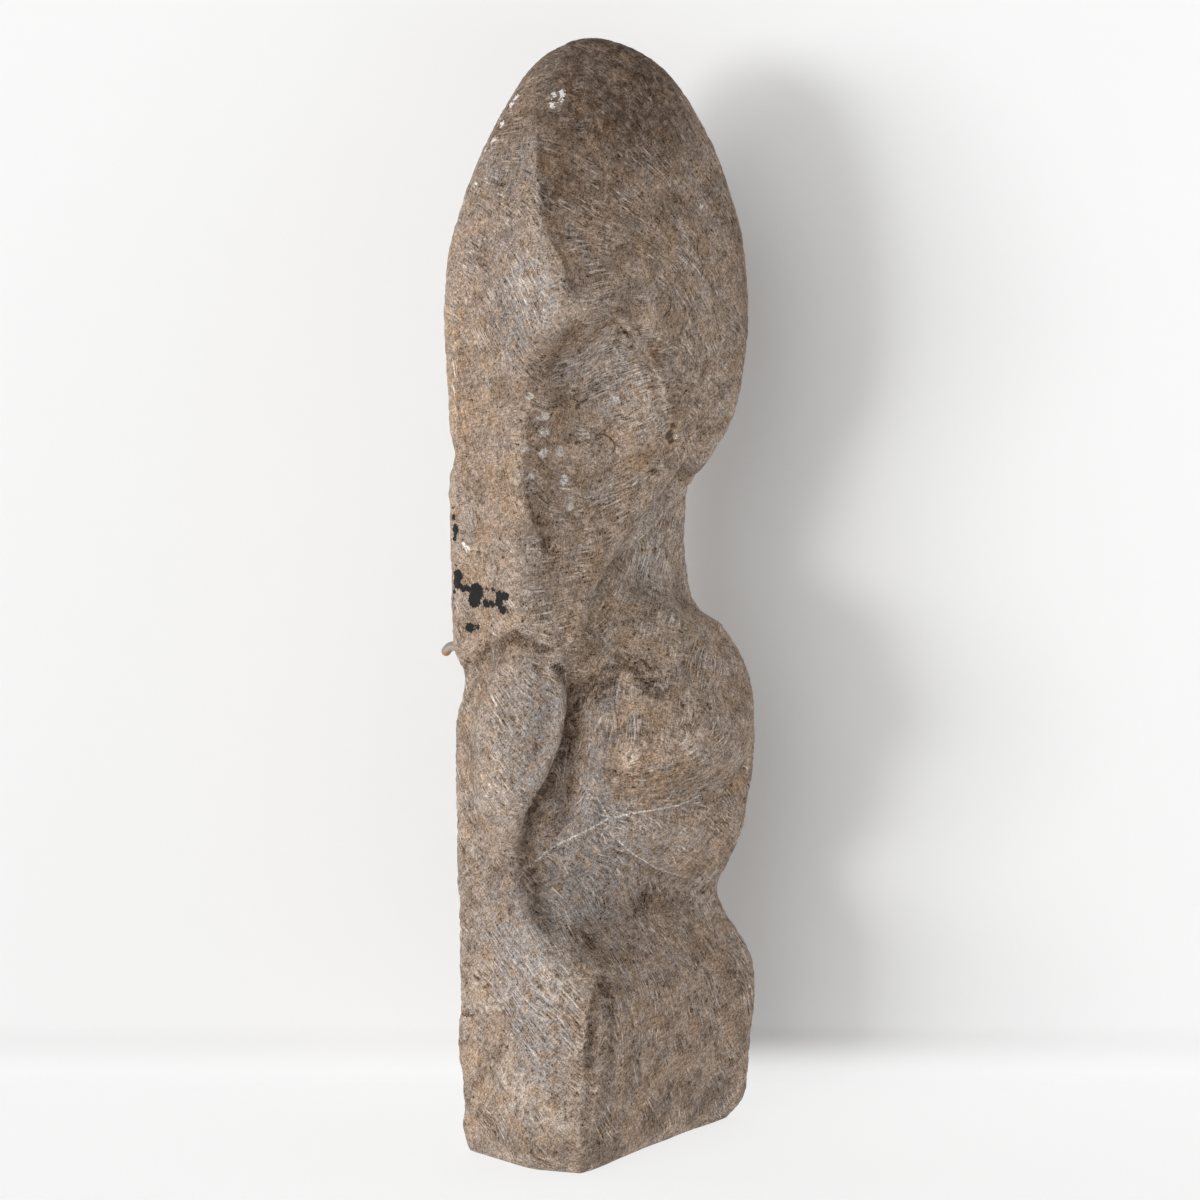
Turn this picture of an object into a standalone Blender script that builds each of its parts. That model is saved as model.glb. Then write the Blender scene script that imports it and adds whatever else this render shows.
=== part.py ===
"""A standing granite relief: one tooled stone with a hooded head, a belly and a base block, and a bent pin.

Metres, +Z up. +X is to the right of the carved front, which faces -Y. The origin is on the ground under the
middle of the base block.
"""

import math

import bmesh
import bpy
import numpy as np
from mathutils import Vector, noise

# Driving dimensions of the stone
STONE_HEIGHT = 0.75
BLOCK_WIDTH = 0.197
BLOCK_DEPTH = 0.117

# The foot's edge is broken back all round, by an uneven share of this height
BROKEN_EDGE_HEIGHT = 0.010
BROKEN_EDGE_INSET = 0.0045
BROKEN_EDGE_SPACING = 0.044
BROKEN_EDGE_USUAL = 0.60
BROKEN_EDGE_CHANGE = 0.50
BROKEN_EDGE_LEAST = 0.25

# The cut face is uneven: how deep, how far apart its hollows are, and how much closer and shallower the finer
# hollows are
UNEVEN_DEPTH = 0.0016
UNEVEN_SPACING = 0.036
FINE_UNEVEN_CLOSER = 2.3
FINE_UNEVEN_SHARE = 0.45

# Driving dimensions of the pin in the back, a short bar with its end bent down
PIN_DIAMETER = 0.0070
PIN_STRAIGHT = 0.0185
PIN_SEAT_DEPTH = 0.0300
PIN_BEND_RADIUS = 0.0070
PIN_BEND = math.radians(50)
PIN_TIP = 0.0020
PIN_ROUNDING = math.radians(75)
PIN_CLEARANCE = 0.0003
PIN_HOLE_SIDES = 24
PIN_BEND_STEPS = 5
PIN_ROUND_STEPS = 4

# How finely the stone is cut into faces
FRONT_STEPS = 25
LEFT_STEPS = 14
BACK_STEPS = 9
RIGHT_STEPS = 8
RING_COUNT = 80
TOP_RING_SHARE = 0.985

# How the surface is looked for from the spine: where, in how many steps, and how often the last is halved
REACH_FROM = 0.03
REACH_TO = 1.80
REACH_STEPS = 118
REACH_HALVINGS = 20

# Where the pin leaves the back: across from the middle, and up, as shares of the block's width and the height
PIN_ACROSS = -0.28
PIN_UP = 0.4515

# The spine inside the stone that every section is measured from, as shares of the width and the depth
SPINE_ACROSS = 0.0
SPINE_FORWARD = -0.10

# The head closes as half an ellipse above its widest place
HEAD_WIDEST_UP = 0.737

# Plan of the stone as it rises: pairs of a share of the height and a share of the width or depth, counted
# from the middle
LEFT_SIDE = (
    (0.0, 0.54),
    (0.04, 0.535),
    (0.14, 0.515),
    (0.45, 0.51),
    (0.62, 0.515),
    (0.74, 0.51),
    (0.85, 0.525),
    (1.0, 0.53),
)
RIGHT_SIDE = (
    (0.0, 0.48),
    (0.17, 0.50),
    (0.21, 0.48),
    (0.37, 0.50),
    (0.53, 0.46),
    (0.72, 0.48),
    (0.85, 0.545),
    (1.0, 0.61),
)
BACK = (
    (0.0, 0.43),
    (0.04, 0.455),
    (0.17, 0.53),
    (0.26, 0.57),
    (0.40, 0.575),
    (0.50, 0.585),
    (0.60, 0.61),
    (0.66, 0.63),
    (0.79, 0.675),
    (0.85, 0.66),
    (1.0, 0.62),
)
FRONT = (
    (0.0, 0.44),
    (0.02, 0.485),
    (0.06, 0.525),
    (0.12, 0.56),
    (0.15, 0.535),
    (0.185, 0.42),
    (0.212, 0.37),
    (0.24, 0.44),
    (0.285, 0.56),
    (0.33, 0.58),
    (0.40, 0.53),
    (0.46, 0.32),
    (0.535, 0.16),
    (0.595, 0.18),
    (0.62, 0.30),
    (0.64, 0.42),
    (0.67, 0.50),
    (0.74, 0.56),
    (0.85, 0.585),
    (1.0, 0.655),
)
# How far forward the side face runs before it turns into the front
SIDE_RIDGE = (
    (0.0, 0.14),
    (0.15, 0.20),
    (0.185, 0.24),
    (0.23, 0.10),
    (0.32, 0.0),
    (0.46, 0.02),
    (0.68, 0.03),
    (0.71, 0.06),
    (0.745, 0.24),
    (0.768, 0.33),
    (0.80, 0.30),
    (0.84, 0.20),
    (0.93, 0.04),
    (1.0, 0.0),
)
# How far across from the middle the front begins
FRONT_BREAK = (
    (0.0, -0.50),
    (0.16, -0.46),
    (0.18, -0.32),
    (0.20, 0.05),
    (0.215, 0.30),
    (0.235, 0.28),
    (0.267, 0.06),
    (0.30, -0.12),
    (0.40, -0.14),
    (0.53, -0.20),
    (0.62, -0.10),
    (0.66, 0.0),
    (0.70, -0.06),
    (0.76, -0.24),
    (0.84, -0.10),
    (1.0, 0.0),
)
# The side face opens a little towards the front
SIDE_FLARE = 0.12

# How softly the plan's corners are rounded, in metres, at each share of the height: crisper on the base block
CORNER_ROUNDING = (
    (0.0, 0.0056),
    (0.16, 0.0056),
    (0.22, 0.0160),
    (0.737, 0.0160),
    (1.0, 0.0480),
)
# The front's two corners and the edge along the side ridge are rounded by these shares of it
FRONT_ROUNDING = 2.0
RIDGE_ROUNDING = 0.7

# The carved forms: the middle and the reach as shares of the width, the depth and the height, and how softly
# each grows out of the stone, in metres
BELLY = ((0.14, 0.31, 0.388), (0.38, 0.34, 0.105), 0.0180)
BOSS = ((0.13, 0.41, 0.372), (0.335, 0.34, 0.055), 0.0035)
THIGH = ((-0.37, -0.12, 0.365), (0.21, 0.27, 0.100), 0.0080)
FACE_HOLLOW = ((-0.35, 0.54, 0.665), (0.28, 0.36, 0.098), 0.0070)

# The arm that hangs from under the hood down to the groove: a leaning facet with a slanting right edge
ARM_FORWARD = 0.02
ARM_TURN = 0.60
ARM_EDGE_UP = 0.55
ARM_EDGE_ACROSS = -0.02
ARM_EDGE_LEAN = 3.5
ARM_LEFT = -0.485
ARM_BACK = -0.20
ARM_TOP_UP = 0.68
ARM_RIDGE_ROUNDING = 0.029
ARM_SIDE_ROUNDING = 0.004
ARM_END_ROUNDING = 0.016
ARM_JOIN = 0.0035

# Furrows pressed into the surface: at each point of the route, its place near the surface, and the furrow's
# half width and depth in metres
NECK_GROOVE = (
    ((0.20, 0.20, 0.580), 0.014, 0.001),
    ((0.06, 0.19, 0.535), 0.016, 0.003),
    ((-0.12, 0.20, 0.500), 0.016, 0.004),
    ((-0.26, 0.22, 0.450), 0.016, 0.007),
    ((-0.36, 0.19, 0.415), 0.018, 0.018),
    ((-0.37, 0.15, 0.375), 0.019, 0.024),
    ((-0.39, 0.11, 0.330), 0.019, 0.023),
    ((-0.43, 0.03, 0.280), 0.017, 0.015),
    ((-0.46, 0.08, 0.235), 0.014, 0.008),
)
THIGH_ARC = (
    ((-0.50, -0.40, 0.432), 0.010, 0.005),
    ((-0.50, -0.25, 0.457), 0.010, 0.006),
    ((-0.50, -0.03, 0.472), 0.010, 0.006),
    ((-0.45, 0.10, 0.457), 0.010, 0.007),
    ((-0.38, 0.22, 0.425), 0.012, 0.007),
)
BELLY_CREASE = (
    ((0.34, 0.15, 0.512), 0.012, 0.000),
    ((0.17, 0.17, 0.502), 0.012, 0.002),
    ((0.02, 0.22, 0.485), 0.012, 0.004),
    ((-0.14, 0.30, 0.455), 0.012, 0.005),
    ((-0.25, 0.30, 0.420), 0.012, 0.006),
)
BOSS_FOLD = (
    ((-0.27, 0.36, 0.325), 0.011, 0.005),
    ((-0.12, 0.56, 0.318), 0.011, 0.006),
    ((0.10, 0.62, 0.315), 0.011, 0.005),
    ((0.32, 0.58, 0.335), 0.011, 0.003),
)
LOW_BACK_NOTCH = (
    ((-0.54, -0.57, 0.428), 0.016, 0.011),
    ((-0.36, -0.58, 0.422), 0.018, 0.008),
    ((0.05, -0.58, 0.405), 0.022, 0.003),
)
HIGH_BACK_NOTCH = (
    ((-0.54, -0.60, 0.628), 0.014, 0.009),
    ((-0.30, -0.61, 0.622), 0.018, 0.006),
    ((0.10, -0.61, 0.600), 0.024, 0.002),
)
FURROWS = (NECK_GROOVE, THIGH_ARC, BELLY_CREASE, BOSS_FOLD, LOW_BACK_NOTCH, HIGH_BACK_NOTCH)

# A furrow fades out at this many half widths from its route
FURROW_SPREAD = 1.5

# Edges turning by more than this are shown sharp
SHARP_ANGLE = math.radians(50)

GRANITE_COLOUR = (0.27, 0.21, 0.16)
GRANITE_ROUGHNESS = 0.85
STEEL_COLOUR = (0.36, 0.33, 0.30)
STEEL_ROUGHNESS = 0.45

COLLECTION_NAME = "Granite relief"
CUTTER_COLLECTION_NAME = "Cutters"


def clear_scene():
    """Remove what a new file starts with."""
    for old in list(bpy.data.objects):
        bpy.data.objects.remove(old, do_unlink=True)


def new_collection(name):
    collection = bpy.data.collections.new(name)
    bpy.context.scene.collection.children.link(collection)
    return collection


def material(name, colour, roughness, metallic):
    made = bpy.data.materials.new(name)
    made.use_nodes = True
    shader = made.node_tree.nodes["Principled BSDF"]
    shader.inputs["Base Color"].default_value = (*colour, 1.0)
    shader.inputs["Roughness"].default_value = roughness
    shader.inputs["Metallic"].default_value = metallic
    made.diffuse_color = (*colour, 1.0)
    return made


def along(stations, up):
    """A smooth curve through the stations that never overshoots them, read at each height."""
    ups = np.array([station[0] for station in stations])
    values = np.array([station[1] for station in stations])
    steps = np.diff(ups)
    slopes = np.diff(values) / steps
    tangents = np.zeros(len(ups))
    for i in range(1, len(ups) - 1):
        before = slopes[i - 1]
        after = slopes[i]
        if before * after > 0:
            tangents[i] = 2 * before * after / (before + after)
    up = np.clip(up, ups[0], ups[-1])
    index = np.clip(np.searchsorted(ups, up, side="right") - 1, 0, len(steps) - 1)
    step = steps[index]
    share = (up - ups[index]) / step
    start = (1 + 2 * share) * (1 - share) ** 2 * values[index]
    end = share**2 * (3 - 2 * share) * values[index + 1]
    lift_start = share * (1 - share) ** 2 * step * tangents[index]
    lift_end = share**2 * (share - 1) * step * tangents[index + 1]
    return start + end + lift_start + lift_end


def joined(first, second, softness):
    """Distance to two forms that grow together, with a soft inner corner."""
    blend = np.clip(0.5 + 0.5 * (second - first) / softness, 0.0, 1.0)
    return second + (first - second) * blend - softness * blend * (1 - blend)


def kept(first, second, softness):
    """Distance to what lies inside both forms, with a soft outer edge."""
    return -joined(-first, -second, softness)


def carved(form, cutter, softness):
    """Distance to a form with a cutter taken away."""
    return kept(form, -cutter, softness)


def ovoid(across, forward, up, centre, reach):
    """Distance to an ellipsoid. Its centre and reach are shares of the width, the depth and the height."""
    size = (reach[0] * BLOCK_WIDTH, reach[1] * BLOCK_DEPTH, reach[2] * STONE_HEIGHT)
    x = (across - centre[0]) * BLOCK_WIDTH / size[0]
    y = (forward - centre[1]) * BLOCK_DEPTH / size[1]
    z = (up - centre[2]) * STONE_HEIGHT / size[2]
    near = np.sqrt(x**2 + y**2 + z**2)
    steep = np.sqrt((x / size[0]) ** 2 + (y / size[1]) ** 2 + (z / size[2]) ** 2)
    return near * (near - 1.0) / np.maximum(steep, 1e-9)


def beside(spot, route):
    """Distance in metres from each spot to a route, and how many of its legs lie before the nearest point."""
    sizes = np.array((BLOCK_WIDTH, BLOCK_DEPTH, STONE_HEIGHT))
    nearest = np.full(spot[0].shape, np.inf)
    place = np.zeros(spot[0].shape)
    for leg, (start, end) in enumerate(zip(route, route[1:], strict=False)):
        run = (np.array(end) - np.array(start)) * sizes
        gap = [(part - begin) * size for part, begin, size in zip(spot, start, sizes, strict=True)]
        share = np.clip(sum(g * r for g, r in zip(gap, run, strict=True)) / float(run @ run), 0.0, 1.0)
        distance = np.sqrt(sum((g - share * r) ** 2 for g, r in zip(gap, run, strict=True)))
        closer = distance < nearest
        nearest = np.where(closer, distance, nearest)
        place = np.where(closer, leg + share, place)
    return nearest, place


def arm(across, forward, up):
    """Distance to the arm, which grows out of the block under the hood."""
    facet = (forward - ARM_FORWARD - ARM_TURN * (across + 0.5)) * BLOCK_DEPTH
    edge = (across - ARM_EDGE_ACROSS - ARM_EDGE_LEAN * (up - ARM_EDGE_UP)) * BLOCK_WIDTH
    turn = math.hypot(1.0, ARM_TURN * BLOCK_DEPTH / BLOCK_WIDTH)
    slant = math.hypot(1.0, ARM_EDGE_LEAN * BLOCK_WIDTH / STONE_HEIGHT)
    form = kept(facet / turn, edge / slant, ARM_RIDGE_ROUNDING)
    form = kept(form, (ARM_LEFT - across - SIDE_FLARE * forward) * BLOCK_WIDTH, ARM_SIDE_ROUNDING)
    form = kept(form, (up - ARM_TOP_UP) * STONE_HEIGHT, ARM_END_ROUNDING)
    return kept(form, (ARM_BACK - forward) * BLOCK_DEPTH, ARM_END_ROUNDING)


def furrow_depth(spot, furrow):
    """How deep a furrow is pressed at each spot of the surface."""
    route = [point[0] for point in furrow]
    distance, place = beside(spot, route)
    half_width = np.interp(place, range(len(furrow)), [point[1] for point in furrow])
    depth = np.interp(place, range(len(furrow)), [point[2] for point in furrow])
    near = np.clip(1.0 - (distance / (half_width * FURROW_SPREAD)) ** 2, 0.0, 1.0)
    return depth * near**2


def block(across, forward, up):
    """The stone's main body: a five-sided plan that changes as it rises, closing to an ovoid at the top."""
    rise = np.clip((up - HEAD_WIDEST_UP) / (1.0 - HEAD_WIDEST_UP), 0.0, 1.0)
    closing = np.sqrt(np.maximum(1.0 - rise**2, 1e-6))
    x = (across - SPINE_ACROSS) / closing + SPINE_ACROSS
    y = (forward - SPINE_FORWARD) / closing + SPINE_FORWARD
    left = along(LEFT_SIDE, up) + SIDE_FLARE * y
    front = along(FRONT, up)
    ridge = along(SIDE_RIDGE, up)
    turn = along(FRONT_BREAK, up)
    softness = along(CORNER_ROUNDING, up)
    body = kept((-x - left) * BLOCK_WIDTH, (x - along(RIGHT_SIDE, up)) * BLOCK_WIDTH, softness)
    body = kept(body, (-y - along(BACK, up)) * BLOCK_DEPTH, softness)
    body = kept(body, (y - front) * BLOCK_DEPTH, softness * FRONT_ROUNDING)
    edge = along(LEFT_SIDE, up) + SIDE_FLARE * ridge
    run_x = (turn + edge) * BLOCK_WIDTH
    run_y = (front - ridge) * BLOCK_DEPTH
    length = np.sqrt(run_x**2 + run_y**2)
    corner = ((y - ridge) * BLOCK_DEPTH * run_x - (x + edge) * BLOCK_WIDTH * run_y) / length
    body = kept(body, corner, softness * RIDGE_ROUNDING)
    return body * closing


def stone(across, forward, up):
    """Distance to the carved stone: below zero inside it, above zero outside."""
    place = (across, forward, up)
    form = joined(block(*place), arm(*place), ARM_JOIN)
    for centre, reach, softness in (THIGH, BELLY, BOSS):
        form = joined(form, ovoid(*place, centre, reach), softness)
    centre, reach, softness = FACE_HOLLOW
    return carved(form, ovoid(*place, centre, reach), softness)


def section_directions():
    """The way from the spine to points set evenly along the block's plan, once round from its front left."""
    corners = ((-0.5, 0.5), (0.5, 0.5), (0.5, -0.5), (-0.5, -0.5))
    counts = (FRONT_STEPS, RIGHT_STEPS, BACK_STEPS, LEFT_STEPS)
    ways = []
    for side, count in enumerate(counts):
        start = corners[side]
        end = corners[(side + 1) % 4]
        for step in range(count):
            share = step / count
            across = start[0] + (end[0] - start[0]) * share
            forward = start[1] + (end[1] - start[1]) * share
            ways.append((across - SPINE_ACROSS, forward - SPINE_FORWARD))
    return np.array(ways)


def ring_heights():
    """Heights of the sections as shares of the whole, closer together where the head closes."""
    even = np.arange(RING_COUNT) / RING_COUNT
    rise = np.clip((even - HEAD_WIDEST_UP) / (1.0 - HEAD_WIDEST_UP), 0.0, 1.0)
    closing = HEAD_WIDEST_UP + (1.0 - HEAD_WIDEST_UP) * np.sin(rise * math.pi / 2 * TOP_RING_SHARE)
    return np.where(even > HEAD_WIDEST_UP, closing, even)


def surface_reach(ways, ups):
    """How far along each way the stone's surface lies, at each height."""
    up = np.repeat(ups[:, None], len(ways), axis=1)

    def outside(reach):
        return stone(SPINE_ACROSS + ways[:, 0] * reach, SPINE_FORWARD + ways[:, 1] * reach, up) > 0

    inner = np.zeros(up.shape)
    found = np.zeros(up.shape, dtype=bool)
    step = (REACH_TO - REACH_FROM) / REACH_STEPS
    for reach in REACH_FROM + step * np.arange(REACH_STEPS + 1):
        now = outside(np.full(up.shape, reach))
        found |= now
        inner = np.where(found, inner, reach)
    outer = inner + step
    for _ in range(REACH_HALVINGS):
        middle = (inner + outer) / 2
        now = outside(middle)
        outer = np.where(now, middle, outer)
        inner = np.where(now, inner, middle)
    return inner


def unevenness(spot):
    """How far the hand-cut face lies below the form at a point."""
    broad = noise.noise(spot / UNEVEN_SPACING)
    narrow = noise.noise(spot * FINE_UNEVEN_CLOSER / UNEVEN_SPACING)
    return UNEVEN_DEPTH * (broad + FINE_UNEVEN_SHARE * narrow)


def broken_edge(spot):
    """How far the foot's edge is broken back at a point, uneven all round."""
    place = Vector((spot.x, spot.y, 0.0)) / BROKEN_EDGE_SPACING
    chip = BROKEN_EDGE_USUAL + BROKEN_EDGE_CHANGE * noise.noise(place)
    height = BROKEN_EDGE_HEIGHT * max(chip, BROKEN_EDGE_LEAST)
    return BROKEN_EDGE_INSET * max(0.0, 1.0 - spot.z / height)


def stone_mesh(name):
    """The stone as a loft of its sections, which are all unlike."""
    ways = section_directions()
    ups = ring_heights()
    reach = surface_reach(ways, ups)
    shape = bmesh.new()
    rings = []
    across = SPINE_ACROSS + ways[:, 0] * reach
    forward = SPINE_FORWARD + ways[:, 1] * reach
    spots = (across, forward, np.repeat(ups[:, None], len(ways), axis=1))
    depth = sum(furrow_depth(spots, furrow) for furrow in FURROWS)
    for i, up in enumerate(ups):
        ring = []
        for j in range(len(ways)):
            spot = Vector((across[i, j] * BLOCK_WIDTH, -forward[i, j] * BLOCK_DEPTH, up * STONE_HEIGHT))
            spine = Vector((SPINE_ACROSS * BLOCK_WIDTH, -SPINE_FORWARD * BLOCK_DEPTH, spot.z))
            inward = (spine - spot).normalized()
            ring.append(shape.verts.new(spot + inward * (depth[i, j] + unevenness(spot) + broken_edge(spot))))
        rings.append(ring)
    for lower, upper in zip(rings, rings[1:], strict=False):
        for i in range(len(ways)):
            j = (i + 1) % len(ways)
            shape.faces.new((lower[j], lower[i], upper[i], upper[j]))
    top = Vector((SPINE_ACROSS * BLOCK_WIDTH, -SPINE_FORWARD * BLOCK_DEPTH, STONE_HEIGHT))
    apex = shape.verts.new(top)
    for i in range(len(ways)):
        shape.faces.new((rings[-1][(i + 1) % len(ways)], rings[-1][i], apex))
    shape.faces.new(rings[0])
    bmesh.ops.recalc_face_normals(shape, faces=shape.faces)
    mesh = bpy.data.meshes.new(name)
    shape.to_mesh(mesh)
    shape.free()
    mesh.shade_smooth()
    mesh.set_sharp_from_angle(angle=SHARP_ANGLE)
    return mesh


def pin_mouth():
    """Where the pin's middle line leaves the back, with +Z along it, out of the stone."""
    mouth = bpy.data.objects.new("pin_mouth", None)
    behind = float(along(BACK, PIN_UP)) * BLOCK_DEPTH
    mouth.location = (PIN_ACROSS * BLOCK_WIDTH, behind, PIN_UP * STONE_HEIGHT)
    mouth.rotation_euler = (math.radians(-90), 0.0, 0.0)
    mouth.empty_display_size = PIN_DIAMETER
    return mouth


def pin_route():
    """Points along the pin as (out of the stone, down, thickness share): straight, bent down, rounded off."""
    radius = PIN_DIAMETER / 2
    points = [(-PIN_SEAT_DEPTH, 0.0, 1.0), (PIN_STRAIGHT, 0.0, 1.0)]
    for step in range(1, PIN_BEND_STEPS + 1):
        turn = PIN_BEND * step / PIN_BEND_STEPS
        out = PIN_STRAIGHT + PIN_BEND_RADIUS * math.sin(turn)
        down = PIN_BEND_RADIUS * (1.0 - math.cos(turn))
        points.append((out, down, 1.0))
    out, down, _ = points[-1]
    for step in range(PIN_ROUND_STEPS + 1):
        turn = PIN_ROUNDING * step / PIN_ROUND_STEPS
        reach = PIN_TIP + radius * math.sin(turn)
        points.append((out + reach * math.cos(PIN_BEND), down + reach * math.sin(PIN_BEND), math.cos(turn)))
    return points


def pin_curve(name):
    """The pin as a round bar along its route."""
    bar = bpy.data.curves.new(name, "CURVE")
    bar.dimensions = "3D"
    bar.bevel_depth = PIN_DIAMETER / 2
    bar.bevel_resolution = 4
    bar.use_fill_caps = True
    route = pin_route()
    spline = bar.splines.new("POLY")
    spline.points.add(len(route) - 1)
    for point, (out, down, thickness) in zip(spline.points, route, strict=True):
        point.co = (0.0, down, out, 1.0)
        point.radius = thickness
    return bar


def hole_cutter():
    """A drill for the pin's blind hole, along the mouth's +Z."""
    outside = PIN_STRAIGHT
    depth = PIN_SEAT_DEPTH + PIN_CLEARANCE
    bpy.ops.mesh.primitive_cylinder_add(
        vertices=PIN_HOLE_SIDES,
        radius=PIN_DIAMETER / 2 + PIN_CLEARANCE,
        depth=depth + outside,
        location=(0.0, 0.0, (outside - depth) / 2),
    )
    cutter = bpy.context.object
    cutter.name = "pin_hole_cutter"
    cutter.hide_render = True
    cutter.display_type = "WIRE"
    return cutter


def only_in(collection, thing):
    """Move an object from the collections it is in to this one."""
    for other in list(thing.users_collection):
        other.objects.unlink(thing)
    collection.objects.link(thing)


def main():
    clear_scene()
    parts = new_collection(COLLECTION_NAME)
    cutters = new_collection(CUTTER_COLLECTION_NAME)

    mesh = stone_mesh("granite_relief")
    mesh.materials.append(material("Granite", GRANITE_COLOUR, GRANITE_ROUGHNESS, 0.0))
    relief = bpy.data.objects.new("granite_relief", mesh)
    parts.objects.link(relief)

    mouth = pin_mouth()
    parts.objects.link(mouth)

    bar = pin_curve("steel_pin")
    bar.materials.append(material("Steel", STEEL_COLOUR, STEEL_ROUGHNESS, 1.0))
    pin = bpy.data.objects.new("steel_pin", bar)
    parts.objects.link(pin)
    pin.parent = mouth

    cutter = hole_cutter()
    only_in(cutters, cutter)
    cutter.parent = mouth

    hole = relief.modifiers.new("pin_hole", "BOOLEAN")
    hole.operation = "DIFFERENCE"
    hole.solver = "EXACT"
    hole.object = cutter


main()
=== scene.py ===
"""Looks of the standing granite relief: tooled stone, the bent steel pin in its back and a pale room."""

import math

import bmesh
import bpy
import numpy as np
from bpy.props import FloatProperty, FloatVectorProperty, PointerProperty
from bpy.types import Operator, Panel, PropertyGroup
from mathutils import Matrix, Vector
from mathutils.bvhtree import BVHTree


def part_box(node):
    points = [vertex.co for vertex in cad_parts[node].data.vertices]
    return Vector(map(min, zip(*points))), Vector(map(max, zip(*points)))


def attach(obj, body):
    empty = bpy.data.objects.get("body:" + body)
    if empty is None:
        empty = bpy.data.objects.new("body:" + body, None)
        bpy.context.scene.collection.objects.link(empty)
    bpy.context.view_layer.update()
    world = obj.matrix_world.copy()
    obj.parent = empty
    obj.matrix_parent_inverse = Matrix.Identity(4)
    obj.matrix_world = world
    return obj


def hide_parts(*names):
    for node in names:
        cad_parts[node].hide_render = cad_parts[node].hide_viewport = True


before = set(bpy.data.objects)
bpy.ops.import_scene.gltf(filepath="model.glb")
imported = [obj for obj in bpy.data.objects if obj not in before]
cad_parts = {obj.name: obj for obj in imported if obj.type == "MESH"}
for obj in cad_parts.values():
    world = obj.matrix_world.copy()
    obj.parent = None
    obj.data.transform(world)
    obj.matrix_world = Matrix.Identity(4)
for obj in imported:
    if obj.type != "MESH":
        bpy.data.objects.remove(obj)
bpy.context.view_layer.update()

bl_info = {
    "name": "Granite Relief Looks",
    "version": (1, 0, 0),
    "blender": (4, 5, 0),
    "location": "View3D > Sidebar > Relief",
    "description": "Dresses a standing granite relief: tooled stone, bent pin and a pale room",
    "category": "Object",
}

STONE_NODE = "granite_relief"
PIN_NODE = "steel_pin"
STONE_LOW, STONE_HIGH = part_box(STONE_NODE)
PIN_LOW, PIN_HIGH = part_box(PIN_NODE)
MM = 0.001

# The camera: where it stands round the object, how it looks down, and the picture's square
PICTURE_SIDE = 1200
CAMERA_AZIMUTH = math.radians(-54.8)
CAMERA_DOWN = math.radians(7.5)
CAMERA_DISTANCE = 2.672
CAMERA_LENS = 118.0
CAMERA_SENSOR = 36.0
AIM = Vector((0.0, 0.0, STONE_HIGH.z / 2))
AIM_PIXEL = (604, 594)

# How the stone's mesh is refined
MERGE_DISTANCE = 0.00002
JOIN_ANGLE = math.radians(50)
JOIN_SHAPE = math.radians(60)
CREASE_ANGLE = math.radians(60)
SHARP_ANGLE = math.radians(55)
STONE_LEVELS = 2
ROUTE_SAMPLES = 7

# Routes that more than one table uses, by pixels of the picture
HOOD_RIDGE = ((566, 303), (562, 262), (545, 230), (538, 180), (536, 130))
NECK_EDGE = ((546, 560), (536, 532), (524, 500), (522, 470), (526, 440), (528, 406))

# Carved lines that are finer than the solid: pixels, reach, depth and softness of the edge in millimetres. A
# step's or corner's lowered side lies to the right hand of someone walking the pixels.
CUTS = {
    "step": (
        (((556, 408), (557, 375), (560, 350), (570, 330), (590, 318)), 18, 1.6, 5),
        (((586, 640), (592, 603), (611, 564), (644, 538), (667, 513), (700, 466)), 15, 2.6, 3),
        (((518, 834), (536, 798), (551, 770), (562, 742), (566, 715), (568, 690)), 15, 3.2, 2),
        (((614, 837), (626, 851), (646, 863), (679, 876), (700, 883)), 15, 1.7, 1.2),
        (((548, 852), (566, 841), (586, 834), (610, 824)), 13, 1.4, 1.2),
    ),
    "corner": (
        (((610, 312), (629, 328), (645, 352), (660, 383), (672, 420)), 15, 2.2, 3.5),
        (HOOD_RIDGE, 24, 2.2, 3),
        (NECK_EDGE, 20, 2.0, 3.5),
        (((606, 776), (626, 786), (652, 790), (682, 785), (710, 772), (736, 755)), 12, 0.9, 4),
        (((581, 1152), (581, 1128), (582, 1083), (588, 1013), (600, 966)), 26, 3.0, 3),
        (((483, 1022), (500, 998), (522, 950)), 20, 1.3, 6),
    ),
    "groove": (
        (((641, 620), (666, 596), (697, 579)), 8, 1.0, 1),
        (((598, 668), (587, 690), (577, 715), (568, 745), (556, 775)), 9, 2.6, 1),
        (((463, 678), (480, 656), (500, 645), (522, 641), (541, 649), (555, 668), (566, 692)), 8, 1.7, 1),
        (((548, 800), (533, 828), (528, 850), (531, 880), (543, 925)), 11, 3.0, 1),
        (((606, 972), (611, 1005), (614, 1040), (611, 1064)), 3.5, 1.2, 1),
        (((488, 661), (494, 670)), 3, 1.6, 1),
        (((606, 680), (618, 669), (629, 664), (640, 668), (648, 681), (660, 691)), 5, 1.5, 1),
    ),
}

# Edges that are fuller than the solid, or leaner below zero: pixels, reach and height in millimetres
SWELLS = (
    (
        ((472, 200), (460, 240), (454, 280), (451, 320), (454, 360), (456, 400), (459, 440), (462, 480)),
        24, 2.2,
    ),
    (((462, 480), (460, 520), (461, 560), (461, 600), (462, 640)), 24, 4.4),
    (((472, 680), (464, 720), (463, 760), (464, 800), (465, 840), (465, 880)), 22, 2.4),
    (((467, 920), (467, 960), (468, 1000), (468, 1060)), 20, 1.6),
    (((458, 250), (456, 280)), 24, 1.6),
    (((737, 350), (732, 390), (722, 425), (700, 458)), 22, 2.2),
    (((737, 1050), (737, 1090)), 22, 3.0),
    (((706, 440), (694, 466), (682, 486)), 18, 3.0),
    (((690, 590), (704, 606), (720, 634)), 26, -5.0),
    (((553, 662), (560, 690), (557, 725), (548, 755), (537, 780)), 11, 3.4),
)

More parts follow.
